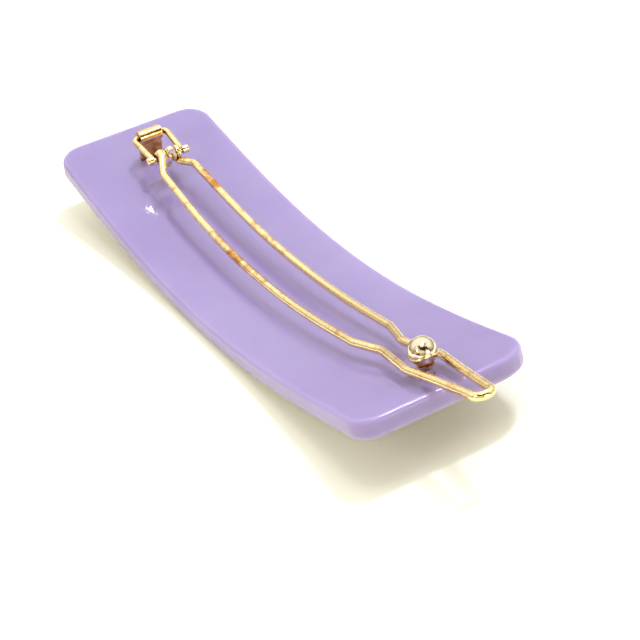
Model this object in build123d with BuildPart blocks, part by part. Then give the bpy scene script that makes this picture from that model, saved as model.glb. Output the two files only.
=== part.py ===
from build123d import *

import os
from collections import namedtuple
from math import cos, inf, radians, sin, tan

# A hair clip that lies on its back, clasp up. A bent acetate plate carries a wire clasp, which turns in a
# rolled barrel at one end of the plate and closes over a ball at the other.
# Millimetres. X runs along the clip from the hinge to the ball, Y across it and Z up.
# The origin is under the middle of the plate, on the surface that it lies on.

# Plate: its length follows the bend, at the middle of its thickness
plate_length = 100.0
plate_width = 26.5
plate_thickness = 2.8
hinge_corner_radius = 4.0
ball_corner_radius = 3.4  # at the -Y side
ball_far_corner_radius = 6.0  # at the +Y side: the corners were rounded by hand and differ
plate_edge_radius = 0.7
half_turn = 13.5  # degrees that the plate turns from its middle to either end
half_turn_limit = radians(45)  # the plate's two broad faces stay flatter than this and its rim steeper

# Wire and the hinge end
wire_diameter = 1.2
link_wire_diameter = 1.0
hinge_inset = 8.9  # from the plate's end to the barrel, along the plate
barrel_height = 4.3  # from the plate's inner face to the barrel's axis
barrel_length = 3.8
barrel_wall = 0.58
hinge_gap = 0.06  # round the link's wire in the barrel
strap_thickness = 0.7  # two leaves of the strip that the barrel is rolled from
link_corner_radius = 0.95
link_length = 6.8  # from the barrel to the link's cross bar, along the plate
link_taper = 0.3  # each side of the link stands this much closer at the bar than at the barrel
bar_height = 4.6
bar_diameter = 0.7
head_diameter = 1.3  # the bar's ends, from the middle of the link's sides outwards
head_overhang = 0.65  # that the ends stand out past the link's sides
head_rounding = 0.35
turns = 5  # of the clasp wire round the bar, side by side between the link's sides
turn_press = 0.06  # neighbouring turns are pressed this far into each other
turn_gap = 0.03  # round the bar in the turns
leg_gap = 0.08  # between the bar and the legs, or the cut ends, where they leave the turns
leg_side_gap = 0.06  # between the wire and the link's sides
cut_end_reach = 0.8  # the wire's cut ends stand out towards the ball, one over the bar and one under it
leg_run = 1.0  # that each leg leaves the bar straight, one from over it and one from under it
leg_start_radius = 2.0

# Ball end
ball_inset = 5.4  # from the plate's end to the ball's stem, along the plate
ball_diameter = 3.9
ball_height = 3.25  # from the plate's inner face to the ball's centre
stem_diameter = 1.5
cup_diameter = 2.6  # the stem flares to this under the ball
cup_depth = 0.75
cup_height = 1.5  # top of the flare above the plate's inner face
snap_gap = 0.1  # between the ball's widest circle and the corner of the wire that lifts past it

# Seats in the plate for the strap and the stem
foot_depth = 1.4
seat_gap = 0.03

# Clasp wire, closed
wire_height_at_bar = 4.55
wire_height_at_ball = 1.65
leg_half_gap = 3.12  # middle of the wire to the clip's middle line, where the legs stand widest
neck_half_gap = 1.6
tip_reach = 14.1  # from the ball's stem to the middle of the wire at the tip, along the plate
tip_half_width = 1.2
tip_height = 1.0
gentle_share = 0.45  # share of the shorter run that a gentle bend takes up at each side

# The plate bends most in the middle and is straight at its ends.
Bend = namedtuple("Bend", "length_share turn_share")
half_bends = [Bend(0.40, 0.64), Bend(0.365, 0.36), Bend(0.235, 0.0)]

# One leg of the wire, from the bar to the ball. Shares run from the bar to the ball along the plate, from
# the height at the ball to that at the bar, and of the legs' widest half gap. None is a gentle bend.
LegBend = namedtuple("LegBend", "along_share height_share gap_share radius")
leg_bends = [
    LegBend(0.048, 0.94, 0.87, 2.0),
    LegBend(0.105, 0.89, 0.91, None),
    LegBend(0.220, 0.70, 0.97, None),
    LegBend(0.345, 0.55, 1.00, None),
    LegBend(0.465, 0.48, 1.01, None),
    LegBend(0.585, 0.37, 1.00, None),
    LegBend(0.705, 0.28, 0.97, None),
    LegBend(0.822, 0.20, 0.93, 3.0),
]
# The rest of the leg, by distance from the ball's stem along the plate
neck_before_ball = 8.4
neck_height_share = 0.11
neck_radius = 3.0
eye_before_ball = 0.4
eye_radius = 3.0
narrowing_past_ball = 6.9
narrowing_gap_share = 0.68  # of the half gap beside the ball

plate_end = plate_length / 2
hinge_place = -(plate_end - hinge_inset)
bar_place = hinge_place + link_length
ball_place = plate_end - ball_inset
wire_radius = wire_diameter / 2
link_wire_radius = link_wire_diameter / 2
barrel_bore = link_wire_radius + hinge_gap
link_half_width = barrel_length / 2 + link_corner_radius
link_bar_side = link_half_width - link_taper
turns_half_width = link_bar_side - link_wire_radius - leg_side_gap
leg_start_side = turns_half_width - wire_radius
turn_radius = (turns_half_width + turn_press * (turns - 1) / 2) / turns
turn_pitch = 2 * turn_radius - turn_press
turns_radius = bar_diameter / 2 + turn_gap + turn_radius
leg_start_height = bar_diameter / 2 + leg_gap + wire_radius
bar_half_length = link_bar_side + link_wire_radius + head_overhang
eye_half_gap = ball_diameter / 2 + wire_radius + snap_gap


def bend_point(along):
    """Side-view place and slope of the plate's middle surface, a distance along it from its middle."""
    side = 1 if along > 0 else -1
    x, z, slope, left = 0.0, plate_thickness / 2, 0.0, abs(along)
    for bend in half_bends:
        length = bend.length_share * plate_length / 2
        run = left if bend is half_bends[-1] else min(left, length)
        turn = radians(half_turn) * bend.turn_share * run / length
        chord = run * sin(turn / 2) / (turn / 2) if turn else run
        x += chord * cos(slope + turn / 2)
        z += chord * sin(slope + turn / 2)
        slope += turn
        left -= run
    return side * x, z, side * slope


def over_plate(along, height):
    """Side-view point at a height above the plate's inner face, square to it."""
    x, z, slope = bend_point(along)
    lift = plate_thickness / 2 + height
    return x - lift * sin(slope), z + lift * cos(slope)


def face_plane(along):
    """Plane on the inner face: x along the clip, z square to the face."""
    x, z = over_plate(along, 0)
    slope = bend_point(along)[2]
    return Plane(origin=(x, 0, z), x_dir=(cos(slope), 0, sin(slope)), z_dir=(-sin(slope), 0, cos(slope)))


def side_plane(along, height):
    """Upright plane along the clip: x along the face, y square to it."""
    x, z = over_plate(along, height)
    slope = bend_point(along)[2]
    return Plane(origin=(x, 0, z), x_dir=(cos(slope), 0, sin(slope)), z_dir=(0, -1, 0))


def point(along, height, side):
    x, z = over_plate(along, height)
    return Vector(x, side, z)


def gentle_radius(before, corner, after):
    """The largest fillet that leaves some straight wire between two bends."""
    first, second = corner - before, after - corner
    turn = radians(first.get_angle(second))
    return gentle_share * min(first.length, second.length) / tan(turn / 2)


def bent_wire(points, radii):
    """A wire's middle line: straight runs with a rounded bend at each inner point."""
    rounded = []
    for corner, radius in enumerate(radii, start=1):
        limit = gentle_radius(points[corner - 1], points[corner], points[corner + 1])
        rounded.append(min(radius or inf, limit))
    return FilletPolyline(*points, radius=rounded)


with BuildPart() as plate:
    half_lengths = [bend.length_share * plate_end for bend in half_bends]
    steps = [0, half_lengths[0], half_lengths[0] + half_lengths[1], plate_end]
    knots = [-step for step in reversed(steps[1:])] + steps
    with BuildSketch(Plane.XZ):
        with BuildLine():
            for height in (0, -plate_thickness):
                for start, stop in zip(knots, knots[1:]):
                    ends = over_plate(start, height), over_plate(stop, height)
                    if max(abs(start), abs(stop)) == plate_end:
                        Line(*ends)
                    else:
                        ThreePointArc(ends[0], over_plate((start + stop) / 2, height), ends[1])
            for end in (-plate_end, plate_end):
                Line(over_plate(end, 0), over_plate(end, -plate_thickness))
        make_face()
    extrude(amount=plate_width / 2, both=True)
    fillet(plate.faces().sort_by(Axis.X)[0].edges().filter_by(Axis.Y, reverse=True), hinge_corner_radius)
    for corner, radius in (0, ball_corner_radius), (-1, ball_far_corner_radius):
        end_face = plate.faces().sort_by(Axis.X)[-1]
        fillet(end_face.edges().filter_by(Axis.Y, reverse=True).sort_by(Axis.Y)[corner], radius)
    rim_faces = plate.faces().filter_by(lambda face: abs(face.normal_at().Z) < sin(half_turn_limit))
    broad_faces = plate.faces().filter_by(lambda face: abs(face.normal_at().Z) > sin(half_turn_limit))
    rim_edges = {edge for face in rim_faces for edge in face.edges()}
    fillet([edge for face in broad_faces for edge in face.edges() if edge in rim_edges], plate_edge_radius)
    with BuildSketch(face_plane(hinge_place)):
        Rectangle(strap_thickness + 2 * seat_gap, barrel_length + 2 * seat_gap)
    extrude(amount=-foot_depth, mode=Mode.SUBTRACT)
    with BuildSketch(face_plane(ball_place)):
        Circle(stem_diameter / 2 + seat_gap)
    extrude(amount=-foot_depth, mode=Mode.SUBTRACT)

with BuildPart() as hinge_bracket:
    with BuildSketch(side_plane(hinge_place, barrel_height)):
        Circle(barrel_bore + barrel_wall)
        with Locations((0, -(barrel_height + foot_depth) / 2)):
            Rectangle(strap_thickness, barrel_height + foot_depth)
        Circle(barrel_bore, mode=Mode.SUBTRACT)
    extrude(amount=barrel_length / 2, both=True)

with BuildPart(face_plane(ball_place)) as ball_stud:
    with Locations((0, 0, -foot_depth)):
        Cylinder(stem_diameter / 2, foot_depth + cup_height, align=(Align.CENTER, Align.CENTER, Align.MIN))
    with Locations((0, 0, cup_height - cup_depth)):
        Cone(
            stem_diameter / 2,
            cup_diameter / 2,
            cup_depth,
            align=(Align.CENTER, Align.CENTER, Align.MIN),
        )
    with Locations((0, 0, ball_height)):
        Sphere(ball_diameter / 2)

hinge_axis = point(hinge_place, barrel_height, 0)
bar_axis = point(bar_place, bar_height, 0)
bar_plane = Plane(origin=bar_axis, x_dir=(bar_axis - hinge_axis).normalized(), z_dir=(0, -1, 0))
across = Vector(0, 1, 0)

with BuildPart() as hinge_link:
    with BuildLine() as link_line:
        FilletPolyline(
            bar_axis - across * link_bar_side,
            hinge_axis - across * link_half_width,
            hinge_axis + across * link_half_width,
            bar_axis + across * link_bar_side,
            radius=link_corner_radius,
        )
    with BuildSketch(Plane(origin=link_line.line @ 0, z_dir=link_line.line % 0)):
        Circle(link_wire_radius)
    sweep(path=link_line.line)
    with BuildSketch(bar_plane):
        Circle(bar_diameter / 2)
    extrude(amount=link_bar_side, both=True)
    for side in (-1, 1):
        with BuildSketch(bar_plane.offset(-side * link_bar_side)):
            Circle(head_diameter / 2)
        extrude(amount=-side * (bar_half_length - link_bar_side))
        end_face = hinge_link.faces().filter_by(GeomType.PLANE).sort_by(Axis.Y)[-1 if side > 0 else 0]
        fillet(end_face.edges(), head_rounding)

# The wire's corners from the bar to the tip on one side, and each corner's radius
span = ball_place - bar_place
fall = wire_height_at_bar - wire_height_at_ball
leg = [
    (
        bar_place + span * row.along_share,
        wire_height_at_ball + fall * row.height_share,
        leg_half_gap * row.gap_share,
    )
    for row in leg_bends
]
leg += [
    (ball_place - neck_before_ball, wire_height_at_ball + fall * neck_height_share, neck_half_gap),
    (ball_place - eye_before_ball, wire_height_at_ball, eye_half_gap),
    (
        ball_place + narrowing_past_ball,
        (wire_height_at_ball + tip_height) / 2,
        eye_half_gap * narrowing_gap_share,
    ),
    (ball_place + tip_reach, tip_height, tip_half_width),
]
leg_radii = [leg_start_radius] + [row.radius for row in leg_bends] + [neck_radius, eye_radius, None, None]

with BuildPart() as clasp_wire:
    leg_points = [point(*row) for row in leg]
    starts = {}
    for side in (-1, 1):
        start = bar_plane.from_local_coords((0, -side * leg_start_height, -side * leg_start_side))
        starts[side] = [start, start + bar_plane.x_dir * leg_run]
    one_side = starts[1] + leg_points
    other_side = starts[-1] + [Vector(corner.X, -corner.Y, corner.Z) for corner in leg_points]
    with BuildLine() as clasp_line:
        bent_wire(one_side + other_side[::-1], leg_radii + leg_radii[::-1])
    with BuildSketch(Plane(origin=clasp_line.line @ 0, z_dir=clasp_line.line % 0)):
        Circle(wire_radius)
    sweep(path=clasp_line.line)
    with BuildSketch(Plane(origin=bar_axis, x_dir=bar_plane.x_dir, z_dir=bar_plane.y_dir)):
        for turn in range(turns):
            with Locations((turns_radius, turn_radius - turns_half_width + turn * turn_pitch)):
                Circle(turn_radius)
    revolve(axis=Axis(bar_axis, across))
    for side in (-1, 1):
        cut_end = bar_plane.from_local_coords((0, side * leg_start_height, -side * turn_pitch / 2))
        with BuildSketch(Plane(origin=cut_end, z_dir=bar_plane.x_dir)):
            Circle(wire_radius)
        extrude(amount=cut_end_reach)

pieces = {
    "plate": plate,
    "hinge_bracket": hinge_bracket,
    "ball_stud": ball_stud,
    "hinge_link": hinge_link,
    "clasp_wire": clasp_wire,
}
os.makedirs("parts", exist_ok=True)
for name, piece in pieces.items():
    piece.part.label = name
    export_step(piece.part, f"parts/{name}.step")

print("hinge axis", hinge_axis)
print("ball centre", point(ball_place, ball_height, 0))
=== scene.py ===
# %% [markdown]
# # A lilac hair clip with a gold wire clasp
# The clip lies on its back on white card, with its clasp up. Its shape comes from a CAD model, in metres:
# X runs along the clip from the hinge to the ball, Y across it and Z up. This lesson gives that model the
# looks of the real thing, which are milky acetate, worn gold plating and soft studio light.

from math import cos, radians, sin

import bmesh
import bpy
from mathutils import Matrix, Vector

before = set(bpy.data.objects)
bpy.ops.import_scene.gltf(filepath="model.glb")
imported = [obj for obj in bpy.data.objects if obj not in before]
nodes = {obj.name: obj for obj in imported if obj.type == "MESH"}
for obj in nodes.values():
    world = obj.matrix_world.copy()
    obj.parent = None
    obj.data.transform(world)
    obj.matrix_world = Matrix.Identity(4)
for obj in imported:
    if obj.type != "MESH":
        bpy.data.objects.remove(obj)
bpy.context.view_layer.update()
mm = 0.001
print("CAD nodes:", ", ".join(sorted(nodes)))

# %% [markdown]
# ## Camera
# The clip was photographed with a long lens from beyond the ball, a little to one side and from above. The
# camera was turned about its own axis as well, so the clip runs down the picture at a slant. A direction is
# given by its azimuth, round from behind the -Y side towards +X, and by its height above the floor, both in
# degrees. Two angles and a roll are easier to match to a photograph than the three turns of Blender's own
# panel.

# %% Directions
def towards(azimuth, height):
    """The direction of a camera or a lamp as seen from the clip, from two angles in degrees."""
    turn, rise = radians(azimuth), radians(height)
    return Vector((sin(turn) * cos(rise), -cos(turn) * cos(rise), sin(rise)))


print("the ball's side is", [round(part, 2) for part in towards(azimuth=90, height=0)])

# %% Place the camera
camera_data = bpy.data.cameras.new("camera")
camera_data.lens = 96.5
camera_data.clip_start = 10 * mm
camera = bpy.data.objects.new("camera", camera_data)
camera.location = Vector((199.63, -84.90, 130.84)) * mm
level = towards(azimuth=65.388, height=32.085).to_track_quat("Z", "Y").to_matrix().to_4x4()
roll = Matrix.Rotation(radians(-9.370), 4, "Z")
camera.rotation_euler = (level @ roll).to_euler()
bpy.context.collection.objects.link(camera)
bpy.context.scene.camera = camera
print("the camera is", round(camera.location.length / mm), "mm from the clip's middle")

# %% [markdown]
# ## Floor
# The ground is white card, lit so brightly that it shows no edge. One large flat face is enough for it.

# %% White card
card_mesh = bpy.data.meshes.new("card")
card_bm = bmesh.new()
bmesh.ops.create_grid(card_bm, x_segments=1, y_segments=1, size=3000 * mm)
card_bm.to_mesh(card_mesh)
card_bm.free()
card = bpy.data.objects.new("card", card_mesh)
bpy.context.collection.objects.link(card)
print("card", round(card.dimensions.x / mm), "mm wide")

# %% [markdown]
# ## Colours and nodes
# A colour picked from a screen is sRGB, while Blender mixes light in linear values, so one function turns
# the first into the second. Each finish below is a small tree of shader nodes. A second function adds a
# node, sets it up and links it, so that most nodes take one line. A colour ramp is a node like any other,
# apart from its list of colour stops, so the function takes those too.

# %% From sRGB to linear
def linear(hex_colour):
    """The linear colour, with alpha, of an sRGB hex value such as 'c0b0e0'."""
    shares = [int(hex_colour[start:start + 2], 16) / 255 for start in (0, 2, 4)]
    light = [share / 12.92 if share <= 0.04045 else ((share + 0.055) / 1.055) ** 2.4 for share in shares]
    return (*light, 1)


print("a mid lilac in linear values:", [round(value, 3) for value in linear("b8a8d8")])


# %% Add a node
def add_node(tree, kind, inputs, stops=(), **settings):
    """A new node with its settings, whose inputs are linked to sockets or set to values.

    The stops of a colour ramp are pairs of a position and an sRGB hex colour, in order.
    """
    node = tree.nodes.new(kind)
    for name, value in settings.items():
        setattr(node, name, value)
    for name, value in inputs.items():
        if isinstance(value, bpy.types.NodeSocket):
            tree.links.new(value, node.inputs[name])
        else:
            node.inputs[name].default_value = value
    for position, _ in stops[2:]:
        node.color_ramp.elements.new(position)
    for index, (position, hex_colour) in enumerate(stops):
        node.color_ramp.elements[index].position = position
        node.color_ramp.elements[index].color = linear(hex_colour)
    return node


# A Mix node has sockets of one name for several kinds of data, so its colour sockets go by number.
mix_share, mix_first, mix_second, mix_result = 0, 6, 7, 2
print("a Mix node's colours go in at", mix_first, "and", mix_second, "and come out at", mix_result)


# %% A material to start from
def new_material(name):
    """A new material, with its node tree and its Principled shader."""
    material = bpy.data.materials.new(name)
    material.use_nodes = True
    return material, material.node_tree, material.node_tree.nodes["Principled BSDF"]


paper, tree, shader = new_material("uncoated_white_card")
card_mesh.materials.append(paper)
print("the card is", card.active_material.name)

# %% [markdown]
# ## Card finish
# The shadow under the clip isn't grey but a warm olive, because some light soaks through the plate and lands
# there. Following that light through milky plastic takes very many samples, so the card has a faint warm
# glow of its own near the clip instead. Further out the glow turns neutral, which keeps the card white as
# far as the eye goes.

# %% Card finish
# Uncoated card: almost white and quite without gloss, so the eye finds nothing on it but the shadow.
shader.inputs["Base Color"].default_value = linear("f4f3e6")
shader.inputs["Roughness"].default_value = 0.95

clip_reach = 90 * mm
glow_end = 300 * mm
place = add_node(tree, "ShaderNodeTexCoord", {}).outputs["Object"]
away = add_node(tree, "ShaderNodeVectorMath", {0: place}, operation="LENGTH").outputs["Value"]
glow_stops = ((clip_reach, "585a18"), (glow_end, "bcbcbc"))
glow = add_node(tree, "ShaderNodeValToRGB", {"Fac": away}, glow_stops).outputs["Color"]
tree.links.new(glow, shader.inputs["Emission Color"])
shader.inputs["Emission Strength"].default_value = 1.0
print("the warm glow starts to fade", round(clip_reach / mm), "mm out")

# %% [markdown]
# ## Light
# Bare metal has hardly a colour of its own: it shows what stands round it. So the sky matters as much as the
# lamps. It is white overhead and falls to a warm grey low down, like the walls of a bright room. On the
# camera's side it is patchy and darker, because the photographer stands there, and those patches draw the
# brown lines in the gold. A noise is enough for that: the ball shows no more of the room than a few light
# and dark shapes.

# %% Sky
scene = bpy.context.scene
scene.view_settings.view_transform = "Standard"
world = bpy.data.worlds.new("studio")
world.use_nodes = True
scene.world = world
tree = world.node_tree
direction = add_node(tree, "ShaderNodeTexCoord", {}).outputs["Generated"]
height = add_node(tree, "ShaderNodeSeparateXYZ", {"Vector": direction}).outputs["Z"]
wall_stops = ((0.02, "6c5646"), (0.12, "a49890"), (0.36, "dad6d2"), (0.6, "fffefd"))
walls = add_node(tree, "ShaderNodeValToRGB", {"Fac": height}, wall_stops).outputs["Color"]
print("the walls have", len(wall_stops), "tones")

# %% The room behind the camera
# The nearness is 1 straight towards the camera's side and 0 at right angles to it.
camera_side = towards(azimuth=65, height=28)
nearness = add_node(tree, "ShaderNodeVectorMath", {0: direction, 1: camera_side}, operation="DOT_PRODUCT")
side = add_node(
    tree, "ShaderNodeMapRange", {"Value": nearness.outputs["Value"], "From Min": 0.1, "From Max": 0.7}
)
room = add_node(tree, "ShaderNodeTexNoise", {"Vector": direction, "Scale": 2.0, "Detail": 2.5})
room_stops = ((0.44, "3a2a1c"), (0.56, "fff6e6"))
room_tones = add_node(tree, "ShaderNodeValToRGB", {"Fac": room.outputs["Fac"]}, room_stops)
sky_colour = add_node(
    tree, "ShaderNodeMix",
    {mix_share: side.outputs["Result"], mix_first: walls, mix_second: room_tones.outputs["Color"]},
    data_type="RGBA", blend_type="MULTIPLY",
)
background = tree.nodes["Background"]
tree.links.new(sky_colour.outputs[mix_result], background.inputs["Color"])
background.inputs["Strength"].default_value = 1.4
print("sky strength", round(background.inputs["Strength"].default_value, 2))


# %% [markdown]
# ## Lamps
# A gloss is a picture of a lamp, so each glint in the photograph says where a lamp stood and how large it
# was. The key lamp hangs almost overhead, and the shadows lie close under the clip. A strip lamp beyond the
# clip draws the white line along the plate's near end. A wide fill lamp, low on the ball's side, lifts the
# faces that look that way. A tall thin window shows at the near corner, and one bare bulb, the glint, as a
# small white spot beside the hinge. Flat area lamps are used for all of them, since their width and height
# can be set one by one.

# %% Lamps
def add_lamp(name, azimuth, height, distance, width, tall, watts, colour="ffffff"):
    """A flat lamp that points at the clip from a direction. Its distance and sizes are in millimetres."""
    lamp = bpy.data.lights.new(name, "AREA")
    lamp.shape = "RECTANGLE"
    lamp.size = width * mm
    lamp.size_y = tall * mm
    lamp.energy = watts
    lamp.color = linear(colour)[:3]
    holder = bpy.data.objects.new(name, lamp)
    from_clip = towards(azimuth, height)
    holder.location = from_clip * distance * mm
    holder.rotation_euler = from_clip.to_track_quat("Z", "Y").to_euler()
    bpy.context.collection.objects.link(holder)


cool = "e6ecff"
add_lamp("key", azimuth=110, height=82, distance=700, width=200, tall=200, watts=1.0, colour=cool)
add_lamp("strip lamp", azimuth=184, height=70.5, distance=684, width=60, tall=110, watts=2.0, colour=cool)
add_lamp("fill", azimuth=105, height=14, distance=650, width=200, tall=120, watts=0.4)
add_lamp("window", azimuth=22, height=33, distance=600, width=20, tall=260, watts=0.6)
add_lamp("glint", azimuth=247.2, height=46.2, distance=520, width=1.5, tall=1.5, watts=0.0006)

# %% [markdown]
# ## Acetate
# The plate is cellulose acetate, sawn from a sheet, bent while warm and tumbled until it shines. A little
# white pigment in the sheet makes it milky: light goes a few millimetres in and comes out again, which
# softens every shadow on it. So the material is one glossy shader with all its light scattered under the
# surface. Its colour drifts by a shade in clouds about 16 mm wide, because pigment is never mixed quite
# evenly.

# %% Milky lilac acetate
# Pigmented sheet: two close lilacs give the eye a colour with some depth to it and no pattern.
acetate, tree, shader = new_material("milky_cellulose_acetate")
place = add_node(tree, "ShaderNodeTexCoord", {}).outputs["Object"]
cloud_width = 16 * mm
cloud = add_node(tree, "ShaderNodeTexNoise", {"Vector": place, "Scale": 1 / cloud_width, "Detail": 2.0})
lilac_stops = ((0.35, "9989b7"), (0.65, "9e90bc"))
lilac = add_node(tree, "ShaderNodeValToRGB", {"Fac": cloud.outputs["Fac"]}, lilac_stops)
tree.links.new(lilac.outputs["Color"], shader.inputs["Base Color"])
print("acetate clouds", round(cloud_width / mm), "mm wide")

# %% Depth
# Light travels about 3 mm in the plastic, blue a little less far than red.
shader.inputs["IOR"].default_value = 1.48
shader.inputs["Subsurface Weight"].default_value = 1.0
shader.inputs["Subsurface Radius"].default_value = (1.1, 1.0, 0.8)
shader.inputs["Subsurface Scale"].default_value = 3 * mm
print("acetate IOR", round(shader.inputs["IOR"].default_value, 2))

# %% [markdown]
# Bending and tumbling never leave a surface quite flat or its gloss quite even. Broad shallow waves bend the
# mirror picture in the plate a little. The rounded edges rub against the tumbling stones more than the flat
# face does, so they are duller. The surface's own direction tells the two apart, since the face looks nearly
# straight up.

# %% Waves
wave_width = 9 * mm
wave_depth = 0.08 * mm
waves = add_node(tree, "ShaderNodeTexNoise", {"Vector": place, "Scale": 1 / wave_width, "Detail": 1.0})
bump = add_node(
    tree, "ShaderNodeBump", {"Height": waves.outputs["Fac"], "Strength": 0.5, "Distance": wave_depth}
)
tree.links.new(bump.outputs["Normal"], shader.inputs["Normal"])
print("waves", round(wave_width / mm), "mm wide")

# %% Gloss
face_gloss = 0.03
edge_gloss = 0.12
looking = add_node(tree, "ShaderNodeTexCoord", {}).outputs["Normal"]
looking_up = add_node(tree, "ShaderNodeSeparateXYZ", {"Vector": looking}).outputs["Z"]
gloss = add_node(
    tree, "ShaderNodeMapRange",
    {"Value": looking_up, "From Min": 0.94, "From Max": 0.96, "To Min": edge_gloss, "To Max": face_gloss},
)
tree.links.new(gloss.outputs["Result"], shader.inputs["Roughness"])
print("roughness of the face", face_gloss, "and of the edges", edge_gloss)

# %% [markdown]
# ## Plated metal
# The clasp, the hinge and the ball are steel with a thin bright plating. A metal's base colour is the colour
# of its reflection, so pale gold under a white sky is nearly all there is to it. The rest is wear, and
# painted shade in the nooks. Where fingers press, the plating is thin and shows orange in patches. A noise
# gives the patches, and its level is raised near the worn places, so that they gather there and die out
# further away.

# %% Worn plating
unworn = -0.08
pale_below, deep_above = 0.48, 0.70


def worn_plating(tree, place, pale, deep, patch_width, worn_places):
    """The plating's colour: pale, with deep patches that gather round worn places.

    A worn place is a point, how far its wear reaches and how much it adds to the noise.
    """
    wear = unworn
    for spot, reach, depth in worn_places:
        away = add_node(tree, "ShaderNodeVectorMath", {0: place, 1: spot}, operation="DISTANCE")
        fading = {"Value": away.outputs["Value"], "From Max": reach, "To Min": depth, "To Max": unworn}
        worn = add_node(tree, "ShaderNodeMapRange", fading).outputs["Result"]
        wear = add_node(tree, "ShaderNodeMath", {0: worn, 1: wear}, operation="MAXIMUM").outputs["Value"]
    texture = {"Vector": place, "Scale": 1 / patch_width, "Detail": 4.0, "Roughness": 0.6}
    patch = add_node(tree, "ShaderNodeTexNoise", texture).outputs["Fac"]
    amount = add_node(tree, "ShaderNodeMath", {0: patch, 1: wear}, operation="ADD").outputs["Value"]
    stops = ((pale_below, pale), (deep_above, deep))
    return add_node(tree, "ShaderNodeValToRGB", {"Fac": amount}, stops).outputs["Color"]


print("unworn plating is pale where the noise is under", round(pale_below - unworn, 2))

# %% [markdown]
# The nooks, between the wire's turns and beside the barrel, get a brown painted shade, as little light
# reaches them. Ambient occlusion measures how hidden a point is, so it can lay that painted shade on.

# %% Painted shade in the nooks
nook_width = 0.7 * mm


def shaded_in_nooks(tree, plating, nook_shade):
    """The plating's colour, darkened as painted shade where other metal is nearer than the width of a nook.
    """
    nook = add_node(tree, "ShaderNodeAmbientOcclusion", {"Distance": nook_width}, samples=8).outputs["AO"]
    stops = ((0.35, nook_shade), (0.8, "ffffff"))
    # Painted shade: the most hidden places take the nook shade colour, and the open ones stay white.
    painted_shade = add_node(tree, "ShaderNodeValToRGB", {"Fac": nook}, stops).outputs["Color"]
    darkened = add_node(
        tree, "ShaderNodeMix", {mix_share: 1.0, mix_first: plating, mix_second: painted_shade},
        data_type="RGBA", blend_type="MULTIPLY",
    )
    return darkened.outputs[mix_result]


print("a nook is up to", round(nook_width / mm, 1), "mm wide")

# %% [markdown]
# Wire is drawn through a die and then bent with tools, which leaves it finely dented. The real dents are
# about a tenth of a millimetre wide. Here they are drawn coarser, 0.6 mm wide, because real ones wouldn't
# show in the picture. They bend the highlights and make the gloss uneven.

# %% Dents
dent_width = 0.6 * mm
dent_depth = 0.06 * mm


def dented(tree, place, shader, roughness):
    """Fine dents on a shader's surface, and a roughness that goes up and down with them."""
    texture = {"Vector": place, "Scale": 1 / dent_width, "Detail": 4.0}
    dents = add_node(tree, "ShaderNodeTexNoise", texture).outputs["Fac"]
    bump = add_node(tree, "ShaderNodeBump", {"Height": dents, "Strength": 0.8, "Distance": dent_depth})
    tree.links.new(bump.outputs["Normal"], shader.inputs["Normal"])
    spread = {"Value": dents, "To Min": roughness * 0.6, "To Max": roughness * 1.4}
    dull = add_node(tree, "ShaderNodeMapRange", spread).outputs["Result"]
    tree.links.new(dull, shader.inputs["Roughness"])


print("dents", round(dent_width / mm, 1), "mm wide")

# %% [markdown]
# ## Wire, strip and ball
# Those three steps make one plated metal. The parts share them and differ in tone, in polish and in where
# they are worn. The wire is a pale yellow gold, worn to orange where a thumb presses its near leg and where
# its far leg bends at the hinge. The strip of the hinge bracket is a redder gold, worn at its foot. The ball
# is the smoothest and palest, and only a little warmer down at its stem.

# %% Wire
def plated_metal(name, pale, deep, nook_shade, patch_width, roughness, worn_places):
    """A bright plated metal with worn patches, painted shade in its nooks and fine dents."""
    material, tree, shader = new_material(name)
    place = add_node(tree, "ShaderNodeTexCoord", {}).outputs["Object"]
    plating = worn_plating(tree, place, pale, deep, patch_width, worn_places)
    tree.links.new(shaded_in_nooks(tree, plating, nook_shade), shader.inputs["Base Color"])
    dented(tree, place, shader, roughness)
    shader.inputs["Metallic"].default_value = 1.0
    print(name, "has patches", round(patch_width / mm, 1), "mm wide")
    return material


# Drawn and plated wire: narrow bright lines, broken by orange patches.
thumb_place = Vector((-4, -8, 6.5)) * mm
far_bend = Vector((-25, 4, 10)) * mm
# Its nook shade is a painted brown shade between the wire's turns.
gold_wire = plated_metal(
    "gold_plated_wire", pale="f8e0a6", deep="c8863c", nook_shade="7a4a22", patch_width=2 * mm,
    roughness=0.14, worn_places=((thumb_place, 13 * mm, 0.24), (far_bend, 7 * mm, 0.15)),
)

# %% Strip
# Rolled and plated strip: broader faces, which show more of the redder tone and of the painted brown shade
# in the nooks.
strap_foot = Vector((-39, 0, 9)) * mm
gold_strip = plated_metal(
    "gold_plated_strip", pale="f8d28c", deep="d98c40", nook_shade="8a5226", patch_width=1.5 * mm,
    roughness=0.14, worn_places=((strap_foot, 5 * mm, 0.2),),
)

# %% Ball
# Turned, polished and plated ball: a small clear picture of the room.
stem = Vector((43.1, 0, 9.6)) * mm
# Its nook shade is a faint painted shade under the ball.
pale_gold_ball = plated_metal(
    "pale_gold_plated_ball", pale="e6d8b8", deep="ecccac", nook_shade="f8e8d8", patch_width=6 * mm,
    roughness=0.05, worn_places=((stem, 2.8 * mm, 0.3),),
)
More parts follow.
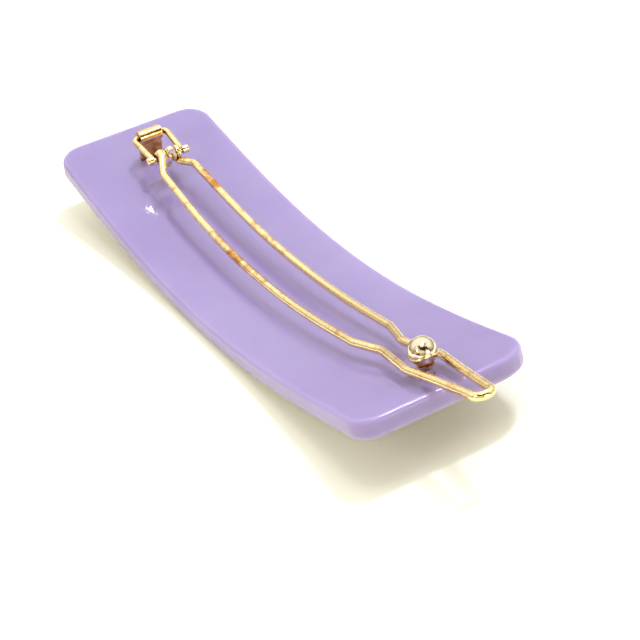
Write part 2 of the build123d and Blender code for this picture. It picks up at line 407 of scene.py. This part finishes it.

# %% [markdown]
# ## Cut wire ends
# The wire was plated as a long coil and cut afterwards, so its two ends at the hinge show bare steel. The
# cutter leaves them rough, and their pure white is a painted highlight. They belong to the same solid as the
# rest of the wire, so a mask picks them out: what lies within about 0.65 mm of the middle of an end is bare.

# %% Where the ends are
tree = gold_wire.node_tree
shader = tree.nodes["Principled BSDF"]
place = add_node(tree, "ShaderNodeTexCoord", {}).outputs["Object"]
upper_end = Vector((-31.5, 0.45, 12.55)) * mm
lower_end = Vector((-31.45, -0.55, 10.8)) * mm
to_upper, to_lower = [
    add_node(tree, "ShaderNodeVectorMath", {0: place, 1: end}, operation="DISTANCE").outputs["Value"]
    for end in (upper_end, lower_end)
]
nearest = add_node(tree, "ShaderNodeMath", {0: to_upper, 1: to_lower}, operation="MINIMUM").outputs["Value"]
mask = {"Value": nearest, "From Min": 0.62 * mm, "From Max": 0.68 * mm, "To Min": 1.0, "To Max": 0.0}
bare = add_node(tree, "ShaderNodeMapRange", mask).outputs["Result"]
print("the cut ends are", round((upper_end - lower_end).length / mm, 1), "mm apart")

# %% Bare steel and a painted highlight
# Sheared steel, paler and duller than the gold. Its pure white is a painted highlight, so each end shows as
# a small white dot.
cutter_marks = 0.3
plating = shader.inputs["Base Color"].links[0].from_socket
bare_steel_and_highlight = add_node(
    tree, "ShaderNodeMix", {mix_share: bare, mix_first: plating, mix_second: linear("ffffff")},
    data_type="RGBA",
)
tree.links.new(bare_steel_and_highlight.outputs[mix_result], shader.inputs["Base Color"])
polish = shader.inputs["Roughness"].links[0].from_socket
rough = add_node(tree, "ShaderNodeMath", {0: bare, 1: cutter_marks, 2: polish}, operation="MULTIPLY_ADD")
tree.links.new(rough.outputs["Value"], shader.inputs["Roughness"])
print("the ends are", cutter_marks, "rougher than the plating")

# %% [markdown]
# ## Finishes
# The CAD parts keep their shapes, and each takes its finish in the material slots that it already has. The
# link is bent from wire like the clasp, so the two share one material.

# %% Give each part its finish
finishes = {
    "plate": acetate,
    "hinge_bracket": gold_strip,
    "ball_stud": pale_gold_ball,
    "hinge_link": gold_wire,
    "clasp_wire": gold_wire,
}
for name, finish in finishes.items():
    for slot in nodes[name].material_slots:
        slot.material = finish
    print(name, "is", finish.name)
